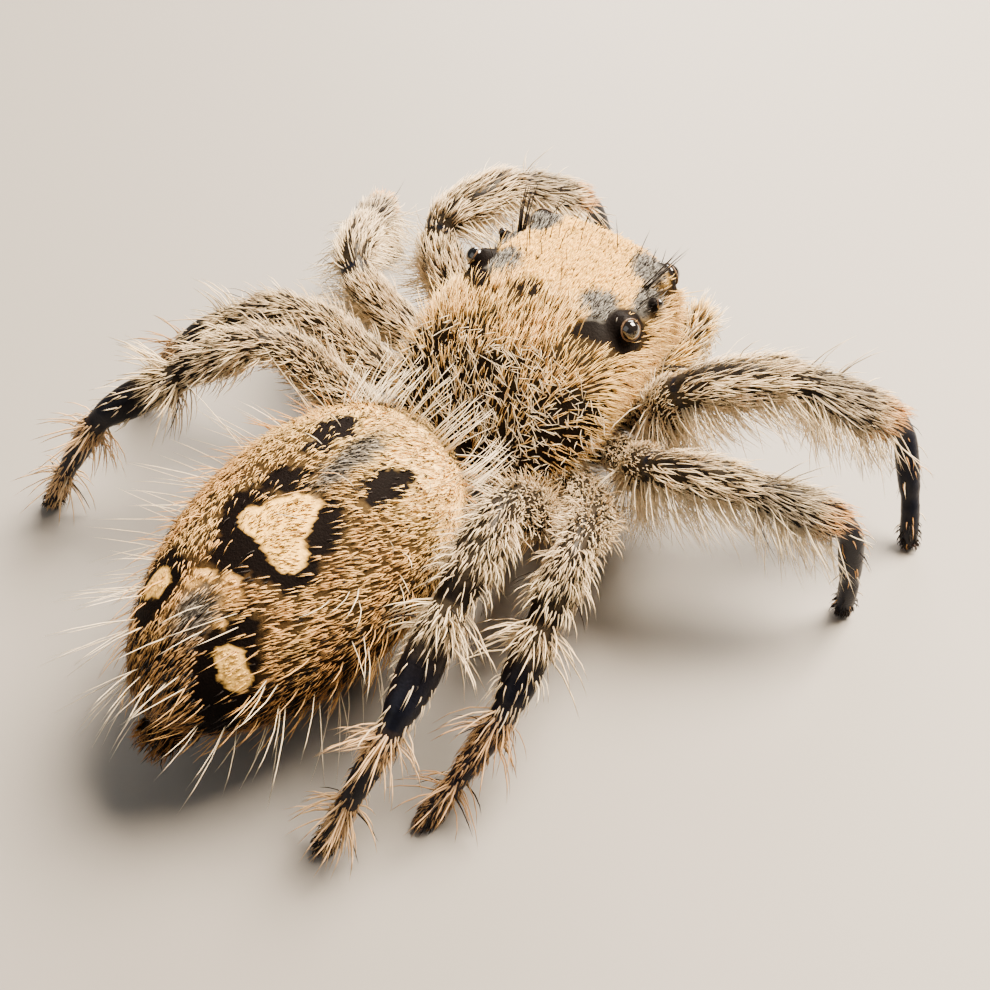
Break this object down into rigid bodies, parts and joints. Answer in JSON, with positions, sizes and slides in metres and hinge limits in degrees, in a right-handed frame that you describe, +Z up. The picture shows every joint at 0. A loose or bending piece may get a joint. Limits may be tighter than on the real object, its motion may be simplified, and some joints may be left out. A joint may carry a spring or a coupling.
{
  "type": "jumping spider model",
  "caption": "Still, life-size regal jumping spider standing on its feet, with furry body, banded hairy legs and a spotted abdomen.",
  "frame": {"origin": "on the floor, at the centre of the footprint's box", "axes": "the spider faces -Y, its right side is at -X, +Z is up"},
  "size_m": [0.0176, 0.0196, 0.0054],
  "materials": {
    "abdomen_coat": "short fur, cream to tan over dark brown skin, pale spots, long pale bristles",
    "carapace_coat": "dense tan and cream fur over black skin",
    "leg_coat": "pale hair and dark bands over black skin",
    "foot_cuticle": "blue-black skin with short dark hair",
    "palp_coat": "long cream hair",
    "eye_lens": "clear, wet-looking black lens",
    "jaw_cuticle": "dark skin with a faint green metal sheen",
    "body_cuticle": "dark brown satin skin"
  },
  "bodies": {
    "root": {"abdomen": "abdomen_coat", "carapace": "carapace_coat", "chelicera_L": "jaw_cuticle", "chelicera_R": "jaw_cuticle", "eye_front_middle_L": "eye_lens", "eye_front_middle_R": "eye_lens", "eye_front_side_L": "eye_lens", "eye_front_side_R": "eye_lens", "eye_rear_L": "eye_lens", "eye_rear_R": "eye_lens", "eye_small_L": "eye_lens", "eye_small_R": "eye_lens", "fang_L": "jaw_cuticle", "fang_R": "jaw_cuticle", "leg1_L_coxa": "leg_coat", "leg1_L_femur": "leg_coat", "leg1_L_tarsus": "foot_cuticle", "leg1_L_tibia": "leg_coat", "leg1_R_coxa": "leg_coat", "leg1_R_femur": "leg_coat", "leg1_R_tarsus": "foot_cuticle", "leg1_R_tibia": "leg_coat", "leg2_L_coxa": "leg_coat", "leg2_L_femur": "leg_coat", "leg2_L_tarsus": "foot_cuticle", "leg2_L_tibia": "leg_coat", "leg2_R_coxa": "leg_coat", "leg2_R_femur": "leg_coat", "leg2_R_tarsus": "foot_cuticle", "leg2_R_tibia": "leg_coat", "leg3_L_coxa": "leg_coat", "leg3_L_femur": "leg_coat", "leg3_L_tarsus": "foot_cuticle", "leg3_L_tibia": "leg_coat", "leg3_R_coxa": "leg_coat", "leg3_R_femur": "leg_coat", "leg3_R_tarsus": "foot_cuticle", "leg3_R_tibia": "leg_coat", "leg4_L_coxa": "leg_coat", "leg4_L_femur": "leg_coat", "leg4_L_tarsus": "foot_cuticle", "leg4_L_tibia": "leg_coat", "leg4_R_coxa": "leg_coat", "leg4_R_femur": "leg_coat", "leg4_R_tarsus": "foot_cuticle", "leg4_R_tibia": "leg_coat", "maxilla_L": "body_cuticle", "maxilla_R": "body_cuticle", "palp_lower_L": "palp_coat", "palp_lower_R": "palp_coat", "palp_upper_L": "palp_coat", "palp_upper_R": "palp_coat", "pedicel": "body_cuticle", "spinnerets": "body_cuticle", "sternum": "body_cuticle"}
  },
  "joints": []
}
